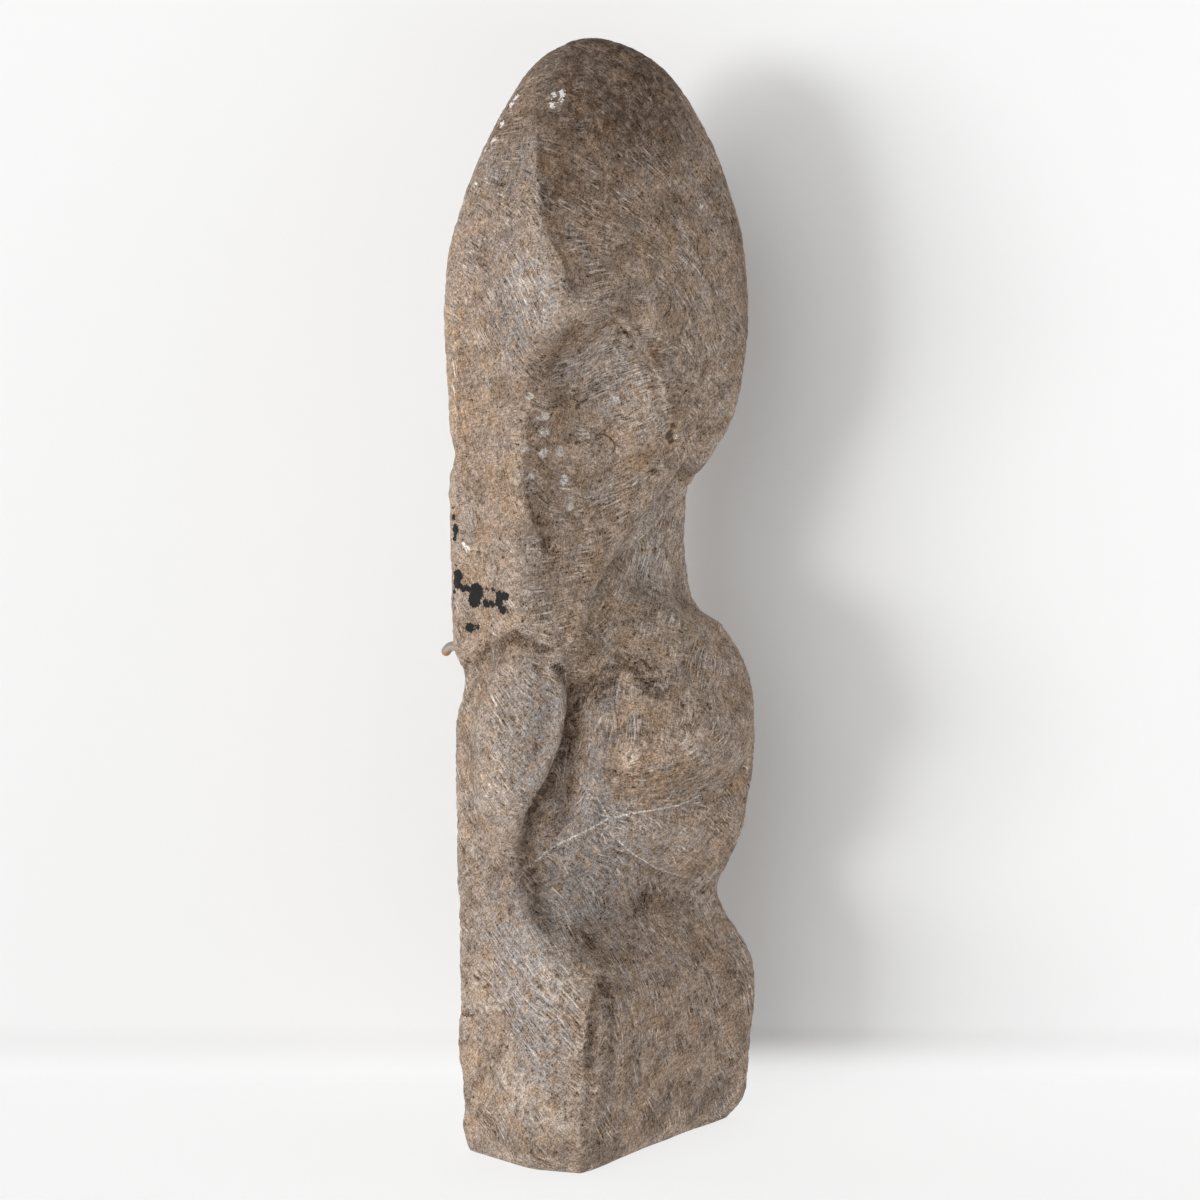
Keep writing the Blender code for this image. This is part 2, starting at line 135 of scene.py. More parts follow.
# Thin pale lines where two tooled faces meet
PALE_LINES = {
    "fold_line": ((594, 792), (602, 806), (611, 817), (634, 813), (660, 809), (685, 803), (708, 790)),
    "scoop_line": ((611, 817), (597, 825), (583, 833), (565, 841), (548, 851), (530, 866)),
    "second_line": ((616, 838), (627, 850), (646, 863), (663, 872), (690, 880)),
}

# Fine cracks
CRACKS = (
    ((694, 222), (698, 236), (697, 252), (703, 266), (701, 280)),
    ((593, 437), (601, 434), (612, 440), (615, 449), (607, 457)),
    ((664, 292), (671, 300), (669, 311), (661, 318)),
    ((461, 1013), (469, 1016), (477, 1014)),
    ((572, 398), (580, 402), (588, 398)),
    ((640, 1050), (638, 1064), (642, 1078)),
)

# Changes of the surface round a pixel: its two numbers, reach in millimetres, and how much. The film darkens
# the stone as a weathered film and partly as painted shade on faces turned from the light and in hollows,
# and below zero it is painted light that lightens the stone. The dirt is partly painted shade in grooves and
# at corners, and the pale is pale dust together with painted light on faces turned to the light. Strokes
# below zero are a smoother place.
STAINS = {
    "film": (
        (600, 56, 48, 1.0), (652, 95, 42, 0.88), (575, 120, 32, 0.6), (625, 165, 40, 0.28),
        (505, 120, 28, 0.38), (700, 170, 36, 0.1), (600, 235, 34, 0.2), (585, 832, 15, 0.4),
        (557, 822, 14, 0.45), (556, 872, 15, 0.45), (520, 905, 14, 0.3), (565, 1150, 18, 0.55),
        (622, 302, 15, 0.6), (657, 358, 11, 0.65), (573, 180, 13, 0.5), (505, 200, 30, 0.3),
        (516, 530, 20, 0.22), (670, 777, 16, 0.35), (603, 730, 9, 0.3), (531, 875, 8, 0.45),
        (532, 1156, 13, 0.5), (600, 1150, 14, 0.4), (708, 1096, 13, 0.3), (579, 1110, 8, 0.35),
        (508, 872, 14, 0.35), (680, 850, 26, -0.24), (562, 970, 18, -0.26), (700, 415, 16, -0.26),
        (680, 1105, 20, -0.22), (512, 112, 12, -0.15), (630, 758, 6, -0.3),
    ),
    "dirt": (
        (576, 695, 9, 0.4), (514, 648, 9, 0.5), (690, 667, 7, 0.35), (742, 702, 8, 0.6),
        (604, 640, 15, 0.35), (650, 896, 10, 0.65), (590, 942, 9, 1.0), (622, 985, 7, 0.6),
        (640, 905, 8, 0.6), (633, 952, 5, 0.5), (735, 975, 12, 0.55), (595, 290, 12, 0.25),
        (655, 210, 12, 0.35), (560, 205, 14, 0.4), (500, 315, 12, 0.45), (485, 262, 12, 0.4),
    ),
    "ochre": (
        (449, 320, 14, 0.95), (670, 777, 18, 0.6), (452, 405, 16, 0.7), (500, 480, 34, 0.35),
        (556, 262, 9, 0.7), (549, 285, 10, 0.6), (583, 222, 10, 0.5), (486, 782, 5, 0.85),
        (716, 848, 14, 0.6), (738, 785, 12, 0.5), (572, 1036, 7, 0.6), (640, 455, 26, 0.4),
        (640, 918, 8, 0.5), (700, 600, 18, 0.25), (650, 770, 24, 0.35), (580, 702, 11, 0.7),
        (575, 620, 20, 0.35),
    ),
    "grey": (
        (600, 870, 42, 0.95), (545, 905, 20, 0.7), (520, 950, 22, 0.75), (530, 1010, 24, 0.75),
        (540, 1060, 20, 0.5), (655, 592, 24, 0.42), (690, 530, 24, 0.12), (590, 820, 18, 0.8),
        (515, 325, 20, 0.85), (545, 292, 16, 0.7), (510, 250, 24, 0.4), (505, 165, 20, 0.5),
        (600, 60, 50, 0.45), (535, 705, 24, 0.65), (525, 770, 26, 0.6), (620, 390, 26, 0.45),
        (572, 370, 9, 0.8), (480, 900, 40, 0.25),
    ),
    "pale": (
        (530, 1100, 22, 0.6), (562, 1126, 13, 0.95), (500, 566, 14, 0.45), (470, 505, 16, 0.35),
        (520, 300, 20, 0.5), (640, 396, 12, 0.25), (612, 400, 10, 0.3), (538, 690, 14, 0.45),
        (540, 742, 14, 0.45), (475, 1000, 26, 0.3), (650, 535, 22, 0.85), (662, 578, 18, 0.7),
        (600, 362, 22, 0.55), (581, 214, 8, 0.55), (476, 547, 12, 0.4), (549, 620, 12, 0.45),
        (690, 705, 16, 0.3), (630, 758, 6, 1.0), (700, 890, 20, 0.6), (562, 972, 20, 0.7),
        (512, 1080, 16, 0.5), (715, 350, 26, 0.3),
    ),
    "strokes": (
        (562, 1126, 13, -0.6), (512, 1078, 16, -0.6), (465, 450, 46, -0.7), (475, 580, 30, -0.55),
        (465, 880, 34, -0.55), (470, 1080, 30, -0.45), (520, 320, 26, 0.45), (610, 360, 34, 0.45),
        (560, 620, 20, 0.45), (650, 560, 34, 0.45), (650, 780, 34, 0.35), (600, 870, 44, 0.35),
        (545, 1010, 34, 0.45), (540, 720, 26, 0.4),
    ),
}
# The same along routes: pixels, reach and how much
STREAKS = {
    "film": (
        (((738, 200), (746, 300), (746, 350)), 12, 0.45),
        (((604, 690), (604, 770)), 12, 0.4),
        (((563, 400), (564, 365), (574, 338)), 8, 0.25),
        (((552, 790), (536, 815), (527, 836), (529, 862), (536, 890), (543, 922)), 8, 0.75),
        (((480, 330), (478, 430), (480, 560)), 45, 0.13),
        (((538, 345), (528, 385)), 13, 0.5),
        (((548, 430), (548, 480)), 14, 0.35),
        (((590, 1168), (660, 1146), (745, 1106)), 7, 0.35),
        (((556, 400), (549, 378), (557, 352), (566, 332), (590, 317)), 6, 0.5),
        (((612, 774), (640, 784), (680, 781), (715, 766)), 7, 0.32),
        (((545, 668), (556, 705), (553, 740)), 9, -0.4),
        (((645, 545), (640, 580)), 17, -0.32),
    ),
    "dirt": (
        (((560, 672), (568, 690)), 6, 0.6),
        (((466, 672), (482, 653), (500, 643), (520, 641), (540, 649), (556, 668)), 5, 0.38),
        (((600, 688), (608, 677), (618, 668), (629, 664), (639, 667), (646, 680), (658, 689)), 6.5, 1.5),
        (((607, 980), (611, 1010), (612, 1064)), 3, 0.5),
    ),
    "ochre": (
        (((612, 770), (640, 780), (680, 778)), 10, 0.4),
        (((456, 300), (456, 420)), 12, 0.5),
    ),
    "grey": ((((607, 688), (601, 730), (596, 776)), 8, 0.85),),
    "pale": (
        (((494, 1003), (508, 985)), 8, 0.8),
        (((696, 482), (662, 524), (633, 575), (614, 620), (603, 676)), 4.5, 0.55),
        (((612, 674), (604, 700), (600, 730), (597, 760), (594, 792)), 5, 0.75),
        (((666, 428), (654, 388), (638, 356), (620, 332)), 7, 0.5),
    ),
}
# Stains and painted shade on one side of a route, to the right hand of someone walking it
EDGE_STREAKS = {
    "film": (
        (HOOD_RIDGE, 17, 0.55),
        (((582, 1083), (588, 1013), (602, 968)), 16, 0.3),
        (((676, 432), (664, 388), (650, 356), (634, 330), (612, 309)), 9, 0.5),
    ),
    "dirt": (
        (((546, 562), *NECK_EDGE[1:]), 20, 0.38),
        (((518, 834), (536, 798), (551, 770), (562, 742), (568, 700)), 9, 0.6),
        (((582, 1075), (585, 1040), (588, 1013), (602, 968)), 9, 0.75),
    ),
}

# Which way the tool strokes run: the two numbers of a pixel, and the strokes' slope there in degrees,
# anticlockwise from level
STROKE_WAYS = (
    (550, 80, 30), (600, 55, -30), (650, 95, -62), (700, 150, -60), (600, 180, -35), (660, 230, -50),
    (505, 130, 0), (490, 230, -38), (515, 330, -60), (550, 290, -55), (595, 290, 16), (600, 350, 19),
    (640, 400, 16), (710, 320, -62), (700, 430, -70), (480, 440, -80), (550, 460, -25), (620, 480, 30),
    (560, 570, 6), (568, 640, 2), (680, 515, 76), (645, 570, 74), (612, 640, 66), (480, 600, -70),
    (680, 620, 84), (720, 700, -78), (650, 710, 86), (600, 740, 80), (625, 782, -6), (670, 785, 10),
    (715, 765, 34), (650, 828, -72), (715, 835, -55), (585, 842, -32), (635, 866, -38), (560, 880, -55),
    (610, 900, -84), (575, 785, 36), (545, 835, 42), (500, 700, -46), (540, 720, -44), (505, 790, -42),
    (475, 880, -58), (540, 1000, -40), (565, 1070, -40), (505, 1105, -56), (640, 1000, -78),
    (710, 1000, -70), (640, 1110, -72), (720, 920, -62),
)
# The same on the back and right, which the picture doesn't show: a place as shares of the box, and a way
HIDDEN_WAYS = (
    ((0.25, 1.0, 0.9), (0.3, 0.0, 1.0)),
    ((0.75, 1.0, 0.6), (-0.5, 0.0, 1.0)),
    ((0.3, 1.0, 0.35), (0.4, 0.0, 1.0)),
    ((0.6, 1.0, 0.1), (-0.2, 0.0, 1.0)),
    ((1.0, 0.6, 0.85), (0.0, 0.6, 1.0)),
    ((1.0, 0.4, 0.5), (0.0, -0.4, 1.0)),
    ((1.0, 0.6, 0.2), (0.0, 0.5, 1.0)),
)
# A way reaches this far over the surface, and is read over this many pixels of the picture
WAY_REACH = 0.032
WAY_STEP = 6.0
# The tool marks are pressed in from this far outside the solid, so that they lie on it in the mean
MEAN_PRESS = 0.0011
# How much a place has of strokes where no stain changes it, and the least that stains can leave
USUAL_STROKES = 0.4
LEAST_MASK = -0.4
# A chip's depth and reach as shares of its radius
CHIP_DEPTH = 0.5
CHIP_REACH = 1.2
# How far from the ground, the pin and the top the surface keeps still, in millimetres, and within how many
# more it comes to move in full
GROUND_STILL = (1, 5)
PIN_STILL = (6, 8)
CROWN_STILL = (0, 25)
# Shares of a route over which a cut, a pale line and the rest fade at its ends, and what a cut starts with
CUT_END = 0.14
LINE_END = 0.08
ROUTE_END = 0.1
CUT_START = 0.1
# Half the width, in millimetres, over which a one-sided stain and its painted shade begin
EDGE_SOFT = 1.5
# A pale line or crack shows up to this far from its route, in millimetres, and fades over as much again
LINE_REACH = 3
# Rounds of smoothing that the fine and the broad hollows are measured against
FINE_ROUNDS = 8
BROAD_ROUNDS = 60

# Small marks: a pixel's two numbers, and a radius in millimetres
MARKS = {
    "paint": (
        (463, 575, 4.6), (462, 582, 4.2), (467, 588, 2.6), (460, 591, 2.2), (459, 597, 1.8),
        (478, 591, 5.6), (476, 600, 5.0), (471, 588, 2.4), (486, 603, 3.3), (492, 604, 2.8),
        (487, 590, 1.7), (493, 589, 1.9), (497, 594, 1.7), (500, 597, 4.0), (505, 596, 3.3),
        (498, 603, 3.2), (503, 610, 3.3), (473, 627, 3.5), (479, 627, 2.0), (459, 507, 1.8),
        (459, 517, 2.4), (461, 529, 3.8), (460, 538, 2.3), (461, 563, 1.4),
    ),
    "lime": (
        (562, 93, 2.3), (562, 100, 1.9), (554, 95, 1.8), (552, 105, 2.2), (516, 98, 2.8), (511, 105, 2.4),
        (502, 124, 2.4), (493, 140, 2.2), (486, 150, 2.0), (477, 185, 1.8), (468, 544, 1.6),
        (471, 548, 1.9), (676, 437, 1.9),
    ),
    "bruise": (
        (545, 415, 3.2), (539, 422, 3.2), (544, 432, 3.8), (528, 396, 2.4), (527, 450, 3.5),
        (544, 453, 3.5), (559, 450, 4.3), (563, 480, 3.5), (532, 480, 2.7), (571, 505, 3.0),
        (615, 400, 2.2), (566, 120, 2.2), (604, 111, 2.4), (700, 205, 2.6),
    ),
    "chip": (
        (670, 436, 3.4), (673, 426, 2.4), (672, 442, 2.6), (516, 633, 2.2), (578, 407, 2.0),
        (491, 401, 1.0), (494, 667, 1.4), (708, 1043, 1.2),
    ),
}


def metres(name, value, about):
    return FloatProperty(name=name, default=value, unit="LENGTH", description=about)


def colour(name, value, about):
    return FloatVectorProperty(name=name, default=value, subtype="COLOR", description=about)


def number(name, value, about):
    return FloatProperty(name=name, default=value, min=0.0, description=about)


class StoneFinish(PropertyGroup):
    """Sizes and colours of the tooled granite."""

    wave_depth: metres("Wave depth", 0.0013, "Hollows of the cut")
    wave_size: metres("Wave size", 0.016, "Distance of the hollows")
    peck_depth: metres("Peck depth", 0.0007, "Depth of long marks")
    peck_length: metres("Peck length", 0.0075, "Length of long marks")
    peck_width: metres("Peck width", 0.0028, "Width of long marks")
    stroke_length: metres("Stroke length", 0.0165, "Along a stroke")
    stroke_pitch: metres("Stroke pitch", 0.0022, "Between strokes")
    stroke_depth: metres("Stroke depth", 0.0005, "Bump of strokes")
    patch_size: metres("Patch size", 0.024, "Area of like strokes")
    grain_size: metres("Grain size", 0.0016, "Crystals in the stone")
    mottle_size: metres("Mottle size", 0.016, "Changes of tone")
    roughness: number("Roughness", 0.88, "Of the bare stone")
    tan: colour("Tan", (0.368, 0.284, 0.225), "Light stone")
    brown: colour("Brown", (0.193, 0.136, 0.096), "Dark stone")
    # Cream also paints pale dust, painted light on faces turned to the light, and a painted highlight on
    # ridges
    cream: colour("Cream", (0.60, 0.525, 0.455), "Fresh marks")
    grey: colour("Grey", (0.290, 0.256, 0.236), "Stone dust")
    ochre: colour("Ochre", (0.42, 0.272, 0.160), "Iron stain")
    # This colour is dirt, and also painted shade in hollows, grooves and at corners
    dirt: colour("Dirt", (0.085, 0.055, 0.036), "In hollows")
    black: colour("Paint", (0.006, 0.006, 0.007), "Paint")
    white: colour("Lime", (0.80, 0.78, 0.74), "Lime spots")


class PinFinish(PropertyGroup):
    """Colours of the steel pin."""

    steel: colour("Steel", (0.40, 0.36, 0.33), "Bare steel")
    rust: colour("Rust", (0.42, 0.17, 0.05), "Rust below")
    grain: metres("Rust grain", 0.0012, "Size of the rust's spots")


class RoomSettings(PropertyGroup):
    """The pale sweep and its light."""

    gap: metres("Wall gap", 0.165, "Wall behind the stone's axis")
    cove: metres("Cove", 0.035, "Radius between floor and wall")
    span: metres("Span", 9.0, "Width of floor and wall")
    shade: colour("Shade", (0.83, 0.83, 0.83), "Paper")
    narrow: number("Narrow light", 0.92, "Small light from the left")
    beside: number("Second light", 0.55, "Small light from further left")
    broad: number("Broad light", 1.28, "Large soft light from the left")
    high: number("High light", 0.36, "Large soft light from above")
    fill: number("Fill light", 0.78, "Large soft light from the right")
    ambient: number("Ambient", 0.03, "Strength of the light all round")
    glow: number("Floor glow", 0.74, "Light that the floor gives off")


GROUPS = {"stone": StoneFinish, "pin": PinFinish, "room": RoomSettings}

# Where each light stands: degrees to the camera's left, degrees above level, and its width in degrees
LAMPS = {
    "narrow": (38, 3, 12),
    "beside": (50, 3, 14),
    "broad": (36, 15, 60),
    "high": (15, 45, 60),
    "fill": (-78, 15, 50),
}
# How much darker the glowing floor's paper is, and how bright the camera sees the room beyond it
FLOOR_SHADE = 0.7
SEEN_WORLD = 0.9
COVE_STEPS = 16
# The plain floor behind the camera lies this far under the paper
FLOOR_DROP = 0.002


class Wire:
    """A node's output that does arithmetic: each operator adds a Math node to the same tree."""

    def __init__(self, tree, socket):
        self.tree = tree
        self.socket = socket

    def output(self, name):
        """Another output of the same node."""
        return Wire(self.tree, self.socket.node.outputs[name])

    def node(self, kind, settings, inputs, output=0):
        """A new node: its settings are set first, then its sockets are given values or links."""
        made = self.tree.nodes.new(kind)
        for name, value in settings.items():
            setattr(made, name, value)
        for name, value in inputs.items():
            if isinstance(value, Wire):
                self.tree.links.new(value.socket, made.inputs[name])
            else:
                made.inputs[name].default_value = value
        return Wire(self.tree, made.outputs[output])

    def feed(self, node, name):
        """Link this wire to a socket of a node."""
        self.tree.links.new(self.socket, node.inputs[name])

    def maths(self, operation, *others):
        """This number and the others, put through a Math node in that order."""
        return self.node("ShaderNodeMath", {"operation": operation}, dict(enumerate((self, *others))))

    def vector(self, operation, other, output=0):
        """This vector and another, put through a Vector Math node in that order."""
        return self.node("ShaderNodeVectorMath", {"operation": operation}, {0: self, 1: other}, output)

    def scaled(self, factor):
        return self.node("ShaderNodeVectorMath", {"operation": "SCALE"}, {0: self, "Scale": factor})

    def dot(self, other):
        return self.vector("DOT_PRODUCT", other, "Value")

    def between(self, low, high):
        """0 at low and 1 at high, with a soft start and end."""
        inputs = {"Value": self, "From Min": low, "From Max": high}
        return self.node("ShaderNodeMapRange", {"interpolation_type": "SMOOTHSTEP"}, inputs)

    def limited(self):
        return self.node("ShaderNodeClamp", {}, {"Value": self})

    def blended(self, shade, share):
        """This colour, with another mixed in."""
        inputs = {0: share, 6: self, 7: (*shade, 1.0)}
        return self.node("ShaderNodeMix", {"data_type": "RGBA"}, inputs, output=2)

    def runs(self, start, end):
        """From one colour, where this is 0, to another, where it is 1."""
        inputs = {0: self, 6: (*start, 1.0), 7: (*end, 1.0)}
        return self.node("ShaderNodeMix", {"data_type": "RGBA"}, inputs, output=2)

    def bump_on(self, shader):
        """Let this height in metres tilt the shader's normals."""
        inputs = {"Strength": 1.0, "Distance": 1.0, "Height": self}
        self.node("ShaderNodeBump", {}, inputs).feed(shader, "Normal")

    def parts(self):
        """The three numbers of this vector."""
        split = self.node("ShaderNodeSeparateXYZ", {}, {"Vector": self})
        return split, split.output("Y"), split.output("Z")

    def joined(self, *others):
        """A vector of this number and one or two more."""
        return self.node("ShaderNodeCombineXYZ", {}, dict(enumerate((self, *others))))

    def chance(self):
        """A random number for each place of a plane."""
        return self.node("ShaderNodeTexWhiteNoise", {"noise_dimensions": "2D"}, {"Vector": self})

    def __add__(self, other):
        return self.maths("ADD", other)

    def __radd__(self, other):
        return self.maths("ADD", other)

    def __sub__(self, other):
        return self.maths("SUBTRACT", other)

    def __rsub__(self, other):
        return self.maths("MULTIPLY_ADD", -1.0, other)

    def __mul__(self, other):
        return self.maths("MULTIPLY", other)

    def __rmul__(self, other):
        return self.maths("MULTIPLY", other)


def noise_at(place, size, detail, roughness):
    """Noise from 0 to 1 over a place in millimetres, with features of this size in millimetres."""
    inputs = {"Vector": place, "Scale": 1.0 / size, "Detail": detail, "Roughness": roughness}
    return place.node("ShaderNodeTexNoise", {}, inputs)


def cells_at(place, size):
    """Voronoi cells of this size in millimetres: the place within one, and its three random numbers."""
    spread = place.scaled(1.0 / size)
    cells = spread.node("ShaderNodeTexVoronoi", {}, {"Vector": spread, "Scale": 1.0})
    inside = spread.vector("SUBTRACT", cells.output("Position")).scaled(size)
    return inside, *cells.output("Color").parts()


def tool_frame(place, way, across, patch, spread):
    """Distances along and across the tool's way, which turns a little from patch to patch; two chances."""
    inside, first, second, third = cells_at(place, patch)
    turn = (first - 0.5) * spread
    cosine = turn.maths("COSINE")
    sine = turn.maths("SINE")
    forward = way.scaled(cosine).vector("ADD", across.scaled(sine))
    sideways = across.scaled(cosine).vector("SUBTRACT", way.scaled(sine))
    return inside.dot(forward), inside.dot(sideways), second * 37.0, third * 53.0


def pecks_at(place, way, across, patch, length, width):
    """Noise drawn out along the tool's way."""
    along, beside, second, third = tool_frame(place, way, across, patch, 0.4)
    flat = (along * (1.0 / length) + second).joined(beside * (1.0 / width) + third)
    inputs = {"Vector": flat, "Scale": 1.0, "Detail": 1.0}
    return flat.node("ShaderNodeTexNoise", {"noise_dimensions": "2D"}, inputs)


def dashes_at(place, way, across, patch, length, pitch, spread):
    """Tool strokes in rows: each stroke's tone, from -1 (dark) to 1 (light), and the gaps between rows."""
    along, beside, second, third = tool_frame(place, way, across, patch, spread)
    rows = beside * (second * 0.016 + 0.7) * (1.0 / pitch) + second
    row = rows.maths("FLOOR")
    pieces = along * (1.0 / length) + row.joined(third).chance() * 9.0
    chance = row.joined(pieces.maths("FLOOR") + third).chance()
    over = 1 - (rows - 0.5).maths("PINGPONG", 0.5) * 2.0
    run = 1 - (pieces - 0.5).maths("PINGPONG", 0.5) * 2.0
    tone = (chance * 2.0 - 1) * over.between(0.10, 0.70) * run.between(0.0, 0.4)
    return tone, 1 - over.between(0.05, 0.45)


def sky_way(azimuth, rise):
    """A unit vector to the sky: its azimuth is counted from the front and its rise from level."""
    level = math.cos(rise)
    return Vector((math.sin(azimuth) * level, -math.cos(azimuth) * level, math.sin(rise)))


def camera_axes():
    """The camera's right, up and back, as unit vectors."""
    back = sky_way(CAMERA_AZIMUTH, CAMERA_DOWN)
    right = Vector((math.cos(CAMERA_AZIMUTH), math.sin(CAMERA_AZIMUTH), 0.0))
    return right, back.cross(right), back


def sight(pixel):
    """From the camera through a pixel of the picture: where the ray starts and which way it goes."""
    right, up, back = camera_axes()
    scale = CAMERA_SENSOR / PICTURE_SIDE
    across = (pixel[0] - AIM_PIXEL[0]) * scale
    rise = (AIM_PIXEL[1] - pixel[1]) * scale
    return AIM + back * CAMERA_DISTANCE, (right * across + up * rise - back * CAMERA_LENS).normalized()


def read_array(items, name, width, kind=float):
    """One field of every item of a mesh, as rows of an array."""
    values = np.empty(len(items) * width, dtype=kind)
    items.foreach_get(name, values)
    return values.reshape(-1, width)


class Surface:
    """The stone's fine surface as arrays, read and marked by pixels of the picture."""

    def __init__(self, mesh):
        self.mesh = mesh
        self.places = read_array(mesh.vertices, "co", 3)
        edges = read_array(mesh.edges, "vertices", 2, np.int64)
        self.starts, self.ends = np.concatenate((edges, edges[:, ::-1])).T
        self.tree = BVHTree.FromPolygons([v.co for v in mesh.vertices], [p.vertices for p in mesh.polygons])
        self.normals = read_array(mesh.vertices, "normal", 3)

    def write_places(self):
        self.mesh.vertices.foreach_set("co", self.places.ravel())
        self.mesh.update()
        self.normals = read_array(self.mesh.vertices, "normal", 3)

    def neighbours_mean(self, values):
        """Each point's value taken as the mean of its neighbours' values."""
        count = len(values)
        share = np.bincount(self.starts, minlength=count)
        columns = [np.bincount(self.starts, values[self.ends, i], count) for i in range(values.shape[1])]
        return np.stack(columns, axis=1) / share[:, None]

    def hollow(self, rounds):
        """How far each point lies below its surroundings, in metres: above zero in a hollow."""
        smooth = self.places
        for _ in range(rounds):
            smooth = self.neighbours_mean(smooth)
        return np.einsum("ij,ij->i", smooth - self.places, self.normals)

    def spot(self, pixel):
        """The place on the stone that a pixel shows, and the surface's direction there."""
        place, normal, _, _ = self.tree.ray_cast(*sight(pixel))
        if place is None:
            start, way = sight(pixel)
            place, normal, _, _ = self.tree.find_nearest(start + way * CAMERA_DISTANCE)
        return np.array(place), np.array(normal)

    def write(self, name, values):
        """Give the mesh an attribute, of one number or three for each point."""
        kind, field = ("FLOAT_VECTOR", "vector") if values.ndim == 2 else ("FLOAT", "value")
        layer = self.mesh.attributes.new(name, kind, "POINT")
        layer.data.foreach_set(field, np.ascontiguousarray(values).ravel())

    def near(self, place):
        """Each point's distance from a place."""
        return np.linalg.norm(self.places - place, axis=1)

    def near_pixel(self, pixel):
        """Each point's distance from the place that a pixel shows."""
        return self.near(self.spot(pixel)[0])

    def beside(self, pixels, samples=ROUTE_SAMPLES):
        """Each point's distance from a route, its side (1 on the right hand) and its share of the way."""
        found = [self.spot(pixel) for pixel in smooth_route(pixels, samples)]
        spots = [place for place, _ in found]
        normals = [normal for _, normal in found]
        nearest = np.full(len(self.places), np.inf)
        side = np.zeros(len(self.places))
        share = np.zeros(len(self.places))
        legs = len(spots) - 1
        for leg in range(legs):
            run = spots[leg + 1] - spots[leg]
            gap = self.places - spots[leg]
            part = np.clip(gap @ run / (run @ run), 0.0, 1.0)
            offset = gap - part[:, None] * run
            distance = np.linalg.norm(offset, axis=1)
            closer = distance < nearest
            right = np.cross(run, normals[leg])
            nearest = np.where(closer, distance, nearest)
            side = np.where(closer, np.sign(offset @ right), side)
            share = np.where(closer, (leg + part) / legs, share)
        return nearest, side, share


def smooth_route(pixels, samples):
    """Pixels along a smooth curve through the given ones."""
    points = np.array(pixels, dtype=float)
    padded = np.vstack((2 * points[0] - points[1], points, 2 * points[-1] - points[-2]))
    found = []
    for i in range(len(points) - 1):
        before, start, end, after = padded[i : i + 4]
        for share in np.arange(samples) / samples:
            bend = 2 * start + (end - before) * share
            bend = bend + (2 * before - 5 * start + 4 * end - after) * share**2
            bend = bend + (3 * start - before - 3 * end + after) * share**3
            found.append(bend / 2)
    found.append(points[-1])
    return found


def soft_step(value):
    value = np.clip(value, 0.0, 1.0)
    return value * value * (3 - 2 * value)


def soft_ends(share, part, start=0.0):
    """1 along a route, and falling softly over this part of it towards each end."""
    return soft_step(np.minimum(share, 1 - share) / part + start)


def bump_fall(distance, reach):
    """1 in the middle and 0 from the reach on, with a round top and a soft foot."""
    return np.clip(1 - (distance / reach) ** 2, 0.0, 1.0) ** 2


def eased(distance, still, fade):
    """0 up to the first distance and 1 after the second more, both in millimetres."""
    return soft_step((distance - still * MM) / (fade * MM))


def press_cut(surface, kind, pixels, reach, depth, soft):
    """How deep a carved line presses the surface in, at each point."""
    reach *= MM
    soft *= MM
    distance, side, share = surface.beside(pixels)
    signed = distance * side
    if kind == "groove":
        fall = bump_fall(distance, reach)
    elif kind == "step":
        fall = soft_step((signed + soft) / (2 * soft)) * (1 - soft_step(signed / reach))
    else:
        fall = np.clip(signed / soft, 0.0, 1.0) * (1 - soft_step((signed - soft) / (reach - soft)))
    return depth * MM * fall * soft_ends(share, CUT_END, CUT_START)


def faded(distance, reach):
    """1 on the spot, and next to nothing at twice the reach, which is in millimetres."""
    return np.exp(-((distance / (reach * MM)) ** 2))


def surface_masks(surface):
    """How much film, dirt, grey, ochre, pale dust and tool strokes each point has, film and dirt with
    painted shade and pale with painted light.
    """
    masks = {kind: np.zeros(len(surface.places)) for kind in STAINS}
    masks["strokes"] += USUAL_STROKES
    for kind, stains in STAINS.items():
        for *pixel, reach, amount in stains:
            masks[kind] += amount * faded(surface.near_pixel(pixel), reach)
    for kind, streaks in STREAKS.items():
        for pixels, reach, amount in streaks:
            masks[kind] += amount * faded(surface.beside(pixels)[0], reach)
    for kind, streaks in EDGE_STREAKS.items():
        for pixels, reach, amount in streaks:
            distance, side, share = surface.beside(pixels)
            shade = faded(distance, reach) * soft_ends(share, ROUTE_END)
            masks[kind] += amount * shade * soft_step((distance * side / MM + EDGE_SOFT) / (2 * EDGE_SOFT))
    return masks


def stroke_ways(surface):
    """The tool's way over the surface, as unit vectors: along the strokes and across them."""
    anchors = []
    for across, down, slope in STROKE_WAYS:
        start, _ = surface.spot((across, down))
        turn = math.radians(slope)
        end, _ = surface.spot((across + WAY_STEP * math.cos(turn), down - WAY_STEP * math.sin(turn)))
        anchors.append((start, end - start))
    size = np.array(STONE_HIGH - STONE_LOW)
    for shares, way in HIDDEN_WAYS:
        anchors.append((np.array(STONE_LOW) + size * shares, np.array(way)))
    blend = np.zeros((len(surface.places), 3, 3))
    for place, way in anchors:
        way = way / max(np.linalg.norm(way), 1e-9)
        distance = surface.near(place)
        weight = np.exp(-((distance / WAY_REACH) ** 2)) + 1e-4 / (1 + (distance / WAY_REACH) ** 4)
        blend += weight[:, None, None] * np.outer(way, way)
    away = np.eye(3) - np.einsum("ni,nj->nij", surface.normals, surface.normals)
    blend = away @ blend @ away
    _, vectors = np.linalg.eigh(blend)
    along = vectors[:, :, 2]
    along = along * np.where(along[:, 2:] < 0, -1.0, 1.0)
    return along, np.cross(surface.normals, along)


